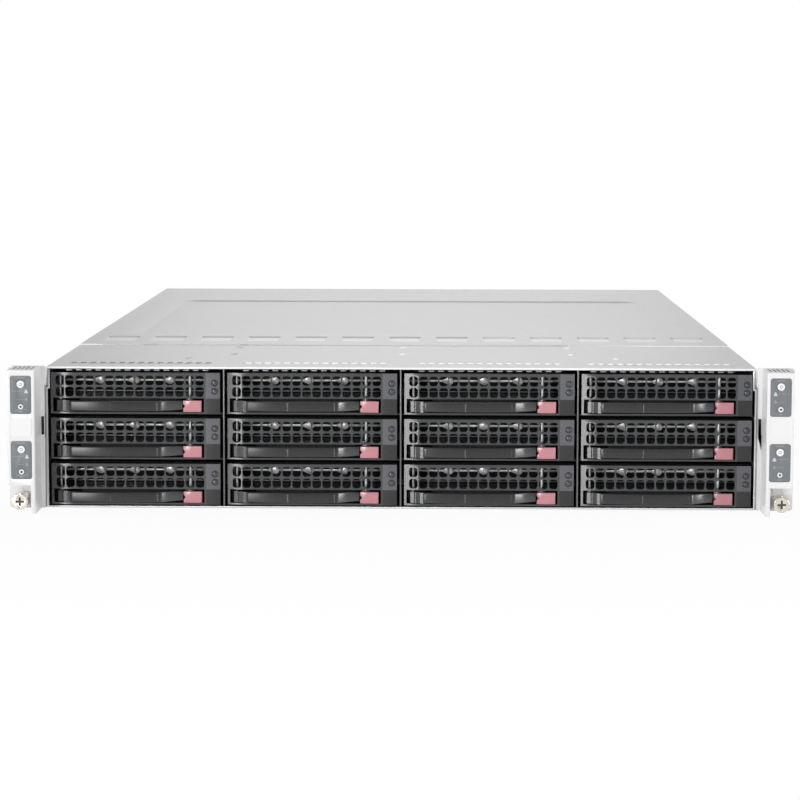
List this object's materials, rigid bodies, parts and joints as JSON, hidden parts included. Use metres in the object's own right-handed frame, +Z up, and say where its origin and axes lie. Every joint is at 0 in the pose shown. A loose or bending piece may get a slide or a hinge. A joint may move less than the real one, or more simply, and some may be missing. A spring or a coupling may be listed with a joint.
{
  "type": "rack server",
  "caption": "Rack server two units high with latched front drive trays, control panels on its rack ears, a lift-off rear cover, and compute sleds and power supplies that slide out behind.",
  "frame": {"origin": "middle of the underside, under the middle of the bounding box", "axes": "+X to the right seen from the front, +Y from the drive trays to the rear panel, +Z up"},
  "size_m": [0.4826, 0.7716, 0.088],
  "materials": {
    "cover_steel": "satin",
    "chassis_steel": "satin",
    "cage_steel": "satin",
    "circuit_board": "solder mask",
    "fan_plastic": "matt",
    "ear_paint": "light satin paint",
    "nickel": "nickel plated",
    "button_plastic": "satin",
    "drive_carrier": "dark bezel on a metal carrier",
    "lever_plastic": "glossy",
    "latch_plastic": "satin",
    "sled_metal": "satin",
    "supply_steel": "satin"
  },
  "bodies": {
    "server_frame": {"chassis": "chassis_steel", "drive_cage": "cage_steel", "front_cover": "cover_steel", "backplane": "circuit_board", "fan_bank": "fan_plastic", "left_ear": "ear_paint", "right_ear": "ear_paint"},
    "drive_tray_01": {"drive_tray_01": "drive_carrier"},
    "tray_lever_01": {"tray_lever_01": "lever_plastic"},
    "tray_latch_01": {"tray_latch_01": "latch_plastic"},
    "drive_tray_02": {"drive_tray_02": "drive_carrier"},
    "tray_lever_02": {"tray_lever_02": "lever_plastic"},
    "tray_latch_02": {"tray_latch_02": "latch_plastic"},
    "drive_tray_03": {"drive_tray_03": "drive_carrier"},
    "tray_lever_03": {"tray_lever_03": "lever_plastic"},
    "tray_latch_03": {"tray_latch_03": "latch_plastic"},
    "drive_tray_04": {"drive_tray_04": "drive_carrier"},
    "tray_lever_04": {"tray_lever_04": "lever_plastic"},
    "tray_latch_04": {"tray_latch_04": "latch_plastic"},
    "drive_tray_05": {"drive_tray_05": "drive_carrier"},
    "tray_lever_05": {"tray_lever_05": "lever_plastic"},
    "tray_latch_05": {"tray_latch_05": "latch_plastic"},
    "drive_tray_06": {"drive_tray_06": "drive_carrier"},
    "tray_lever_06": {"tray_lever_06": "lever_plastic"},
    "tray_latch_06": {"tray_latch_06": "latch_plastic"},
    "drive_tray_07": {"drive_tray_07": "drive_carrier"},
    "tray_lever_07": {"tray_lever_07": "lever_plastic"},
    "tray_latch_07": {"tray_latch_07": "latch_plastic"},
    "drive_tray_08": {"drive_tray_08": "drive_carrier"},
    "tray_lever_08": {"tray_lever_08": "lever_plastic"},
    "tray_latch_08": {"tray_latch_08": "latch_plastic"},
    "drive_tray_09": {"drive_tray_09": "drive_carrier"},
    "tray_lever_09": {"tray_lever_09": "lever_plastic"},
    "tray_latch_09": {"tray_latch_09": "latch_plastic"},
    "drive_tray_10": {"drive_tray_10": "drive_carrier"},
    "tray_lever_10": {"tray_lever_10": "lever_plastic"},
    "tray_latch_10": {"tray_latch_10": "latch_plastic"},
    "drive_tray_11": {"drive_tray_11": "drive_carrier"},
    "tray_lever_11": {"tray_lever_11": "lever_plastic"},
    "tray_latch_11": {"tray_latch_11": "latch_plastic"},
    "drive_tray_12": {"drive_tray_12": "drive_carrier"},
    "tray_lever_12": {"tray_lever_12": "lever_plastic"},
    "tray_latch_12": {"tray_latch_12": "latch_plastic"},
    "lower_left_sled": {"lower_left_sled": "sled_metal"},
    "lower_right_sled": {"lower_right_sled": "sled_metal"},
    "lower_power_supply": {"lower_power_supply": "supply_steel"},
    "upper_left_sled": {"upper_left_sled": "sled_metal"},
    "upper_right_sled": {"upper_right_sled": "sled_metal"},
    "upper_power_supply": {"upper_power_supply": "supply_steel"},
    "top_cover": {"top_cover": "cover_steel"},
    "left_rack_screw": {"left_rack_screw": "nickel"},
    "left_power_button_1": {"left_power_button_1": "button_plastic"},
    "left_ident_button_1": {"left_ident_button_1": "button_plastic"},
    "left_power_button_2": {"left_power_button_2": "button_plastic"},
    "left_ident_button_2": {"left_ident_button_2": "button_plastic"},
    "right_rack_screw": {"right_rack_screw": "nickel"},
    "right_power_button_1": {"right_power_button_1": "button_plastic"},
    "right_ident_button_1": {"right_ident_button_1": "button_plastic"},
    "right_power_button_2": {"right_power_button_2": "button_plastic"},
    "right_ident_button_2": {"right_ident_button_2": "button_plastic"}
  },
  "joints": [
    {"name": "tray_10_slide", "type": "slide", "parent": "server_frame", "child": "drive_tray_10", "axis": [0, -1, 0], "range_m": [0, 0.17]},
    {"name": "lever_10_pull", "type": "hinge", "parent": "drive_tray_10", "child": "tray_lever_10", "pos_m": [-0.10115, -0.3532, 0.0634], "axis": [0, 0, -1], "range_deg": [0, 55]},
    {"name": "latch_10_press", "type": "hinge", "parent": "drive_tray_10", "child": "tray_latch_10", "pos_m": [-0.02145, -0.3492, 0.0634], "axis": [0, 0, 1], "range_deg": [0, 4.5], "stiffness_Nm_per_rad": 0.5},
    {"name": "left_rack_screw_turn", "type": "hinge", "parent": "server_frame", "child": "left_rack_screw", "pos_m": [-0.23255, -0.3582, 0.006], "axis": [0, 1, 0], "continuous": true},
    {"name": "left_power_button_1_press", "type": "slide", "parent": "server_frame", "child": "left_power_button_1", "axis": [0, 1, 0], "range_m": [0, 0.0006], "stiffness_N_per_m": 800},
    {"name": "left_ident_button_1_press", "type": "slide", "parent": "server_frame", "child": "left_ident_button_1", "axis": [0, 1, 0], "range_m": [0, 0.0006], "stiffness_N_per_m": 800},
    {"name": "top_cover_lift", "type": "slide", "parent": "server_frame", "child": "top_cover", "axis": [0, 0, 1], "range_m": [0, 0.12]},
    {"name": "lower_left_sled_slide", "type": "slide", "parent": "server_frame", "child": "lower_left_sled", "axis": [0, 1, 0], "range_m": [0, 0.47]},
    {"name": "lower_power_supply_slide", "type": "slide", "parent": "server_frame", "child": "lower_power_supply", "axis": [0, 1, 0], "range_m": [0, 0.33]},
    {"name": "tray_03_slide", "type": "slide", "parent": "server_frame", "child": "drive_tray_03", "axis": [0, -1, 0], "range_m": [0, 0.17]},
    {"name": "lever_03_pull", "type": "hinge", "parent": "drive_tray_03", "child": "tray_lever_03", "pos_m": [0.00775, -0.3532, 0.007], "axis": [0, 0, -1], "range_deg": [0, 55]},
    {"name": "latch_03_press", "type": "hinge", "parent": "drive_tray_03", "child": "tray_latch_03", "pos_m": [0.08745, -0.3492, 0.007], "axis": [0, 0, 1], "range_deg": [0, 4.5], "stiffness_Nm_per_rad": 0.5},
    {"name": "upper_power_supply_slide", "type": "slide", "parent": "server_frame", "child": "upper_power_supply", "axis": [0, 1, 0], "range_m": [0, 0.33]},
    {"name": "upper_right_sled_slide", "type": "slide", "parent": "server_frame", "child": "upper_right_sled", "axis": [0, 1, 0], "range_m": [0, 0.47]},
    {"name": "tray_01_slide", "type": "slide", "parent": "server_frame", "child": "drive_tray_01", "axis": [0, -1, 0], "range_m": [0, 0.17]},
    {"name": "lever_01_pull", "type": "hinge", "parent": "drive_tray_01", "child": "tray_lever_01", "pos_m": [-0.21005, -0.3532, 0.007], "axis": [0, 0, -1], "range_deg": [0, 55]},
    {"name": "latch_01_press", "type": "hinge", "parent": "drive_tray_01", "child": "tray_latch_01", "pos_m": [-0.13035, -0.3492, 0.007], "axis": [0, 0, 1], "range_deg": [0, 4.5], "stiffness_Nm_per_rad": 0.5},
    {"name": "tray_02_slide", "type": "slide", "parent": "server_frame", "child": "drive_tray_02", "axis": [0, -1, 0], "range_m": [0, 0.17]},
    {"name": "lever_02_pull", "type": "hinge", "parent": "drive_tray_02", "child": "tray_lever_02", "pos_m": [-0.10115, -0.3532, 0.007], "axis": [0, 0, -1], "range_deg": [0, 55]},
    {"name": "latch_02_press", "type": "hinge", "parent": "drive_tray_02", "child": "tray_latch_02", "pos_m": [-0.02145, -0.3492, 0.007], "axis": [0, 0, 1], "range_deg": [0, 4.5], "stiffness_Nm_per_rad": 0.5},
    {"name": "tray_04_slide", "type": "slide", "parent": "server_frame", "child": "drive_tray_04", "axis": [0, -1, 0], "range_m": [0, 0.17]},
    {"name": "lever_04_pull", "type": "hinge", "parent": "drive_tray_04", "child": "tray_lever_04", "pos_m": [0.11665, -0.3532, 0.007], "axis": [0, 0, -1], "range_deg": [0, 55]},
    {"name": "latch_04_press", "type": "hinge", "parent": "drive_tray_04", "child": "tray_latch_04", "pos_m": [0.19635, -0.3492, 0.007], "axis": [0, 0, 1], "range_deg": [0, 4.5], "stiffness_Nm_per_rad": 0.5},
    {"name": "tray_05_slide", "type": "slide", "parent": "server_frame", "child": "drive_tray_05", "axis": [0, -1, 0], "range_m": [0, 0.17]},
    {"name": "lever_05_pull", "type": "hinge", "parent": "drive_tray_05", "child": "tray_lever_05", "pos_m": [-0.21005, -0.3532, 0.0352], "axis": [0, 0, -1], "range_deg": [0, 55]},
    {"name": "latch_05_press", "type": "hinge", "parent": "drive_tray_05", "child": "tray_latch_05", "pos_m": [-0.13035, -0.3492, 0.0352], "axis": [0, 0, 1], "range_deg": [0, 4.5], "stiffness_Nm_per_rad": 0.5},
    {"name": "tray_06_slide", "type": "slide", "parent": "server_frame", "child": "drive_tray_06", "axis": [0, -1, 0], "range_m": [0, 0.17]},
    {"name": "lever_06_pull", "type": "hinge", "parent": "drive_tray_06", "child": "tray_lever_06", "pos_m": [-0.10115, -0.3532, 0.0352], "axis": [0, 0, -1], "range_deg": [0, 55]},
    {"name": "latch_06_press", "type": "hinge", "parent": "drive_tray_06", "child": "tray_latch_06", "pos_m": [-0.02145, -0.3492, 0.0352], "axis": [0, 0, 1], "range_deg": [0, 4.5], "stiffness_Nm_per_rad": 0.5},
    {"name": "tray_07_slide", "type": "slide", "parent": "server_frame", "child": "drive_tray_07", "axis": [0, -1, 0], "range_m": [0, 0.17]},
    {"name": "lever_07_pull", "type": "hinge", "parent": "drive_tray_07", "child": "tray_lever_07", "pos_m": [0.00775, -0.3532, 0.0352], "axis": [0, 0, -1], "range_deg": [0, 55]},
    {"name": "latch_07_press", "type": "hinge", "parent": "drive_tray_07", "child": "tray_latch_07", "pos_m": [0.08745, -0.3492, 0.0352], "axis": [0, 0, 1], "range_deg": [0, 4.5], "stiffness_Nm_per_rad": 0.5},
    {"name": "tray_08_slide", "type": "slide", "parent": "server_frame", "child": "drive_tray_08", "axis": [0, -1, 0], "range_m": [0, 0.17]},
    {"name": "lever_08_pull", "type": "hinge", "parent": "drive_tray_08", "child": "tray_lever_08", "pos_m": [0.11665, -0.3532, 0.0352], "axis": [0, 0, -1], "range_deg": [0, 55]},
    {"name": "latch_08_press", "type": "hinge", "parent": "drive_tray_08", "child": "tray_latch_08", "pos_m": [0.19635, -0.3492, 0.0352], "axis": [0, 0, 1], "range_deg": [0, 4.5], "stiffness_Nm_per_rad": 0.5},
    {"name": "tray_09_slide", "type": "slide", "parent": "server_frame", "child": "drive_tray_09", "axis": [0, -1, 0], "range_m": [0, 0.17]},
    {"name": "lever_09_pull", "type": "hinge", "parent": "drive_tray_09", "child": "tray_lever_09", "pos_m": [-0.21005, -0.3532, 0.0634], "axis": [0, 0, -1], "range_deg": [0, 55]},
    {"name": "latch_09_press", "type": "hinge", "parent": "drive_tray_09", "child": "tray_latch_09", "pos_m": [-0.13035, -0.3492, 0.0634], "axis": [0, 0, 1], "range_deg": [0, 4.5], "stiffness_Nm_per_rad": 0.5},
    {"name": "tray_11_slide", "type": "slide", "parent": "server_frame", "child": "drive_tray_11", "axis": [0, -1, 0], "range_m": [0, 0.17]},
    {"name": "lever_11_pull", "type": "hinge", "parent": "drive_tray_11", "child": "tray_lever_11", "pos_m": [0.00775, -0.3532, 0.0634], "axis": [0, 0, -1], "range_deg": [0, 55]},
    {"name": "latch_11_press", "type": "hinge", "parent": "drive_tray_11", "child": "tray_latch_11", "pos_m": [0.08745, -0.3492, 0.0634], "axis": [0, 0, 1], "range_deg": [0, 4.5], "stiffness_Nm_per_rad": 0.5},
    {"name": "tray_12_slide", "type": "slide", "parent": "server_frame", "child": "drive_tray_12", "axis": [0, -1, 0], "range_m": [0, 0.17]},
    {"name": "lever_12_pull", "type": "hinge", "parent": "drive_tray_12", "child": "tray_lever_12", "pos_m": [0.11665, -0.3532, 0.0634], "axis": [0, 0, -1], "range_deg": [0, 55]},
    {"name": "latch_12_press", "type": "hinge", "parent": "drive_tray_12", "child": "tray_latch_12", "pos_m": [0.19635, -0.3492, 0.0634], "axis": [0, 0, 1], "range_deg": [0, 4.5], "stiffness_Nm_per_rad": 0.5},
    {"name": "right_rack_screw_turn", "type": "hinge", "parent": "server_frame", "child": "right_rack_screw", "pos_m": [0.23255, -0.3582, 0.006], "axis": [0, 1, 0], "continuous": true},
    {"name": "left_power_button_2_press", "type": "slide", "parent": "server_frame", "child": "left_power_button_2", "axis": [0, 1, 0], "range_m": [0, 0.0006], "stiffness_N_per_m": 800},
    {"name": "left_ident_button_2_press", "type": "slide", "parent": "server_frame", "child": "left_ident_button_2", "axis": [0, 1, 0], "range_m": [0, 0.0006], "stiffness_N_per_m": 800},
    {"name": "right_power_button_1_press", "type": "slide", "parent": "server_frame", "child": "right_power_button_1", "axis": [0, 1, 0], "range_m": [0, 0.0006], "stiffness_N_per_m": 800},
    {"name": "right_ident_button_1_press", "type": "slide", "parent": "server_frame", "child": "right_ident_button_1", "axis": [0, 1, 0], "range_m": [0, 0.0006], "stiffness_N_per_m": 800},
    {"name": "right_power_button_2_press", "type": "slide", "parent": "server_frame", "child": "right_power_button_2", "axis": [0, 1, 0], "range_m": [0, 0.0006], "stiffness_N_per_m": 800},
    {"name": "right_ident_button_2_press", "type": "slide", "parent": "server_frame", "child": "right_ident_button_2", "axis": [0, 1, 0], "range_m": [0, 0.0006], "stiffness_N_per_m": 800},
    {"name": "lower_right_sled_slide", "type": "slide", "parent": "server_frame", "child": "lower_right_sled", "axis": [0, 1, 0], "range_m": [0, 0.47]},
    {"name": "upper_left_sled_slide", "type": "slide", "parent": "server_frame", "child": "upper_left_sled", "axis": [0, 1, 0], "range_m": [0, 0.47]}
  ]
}
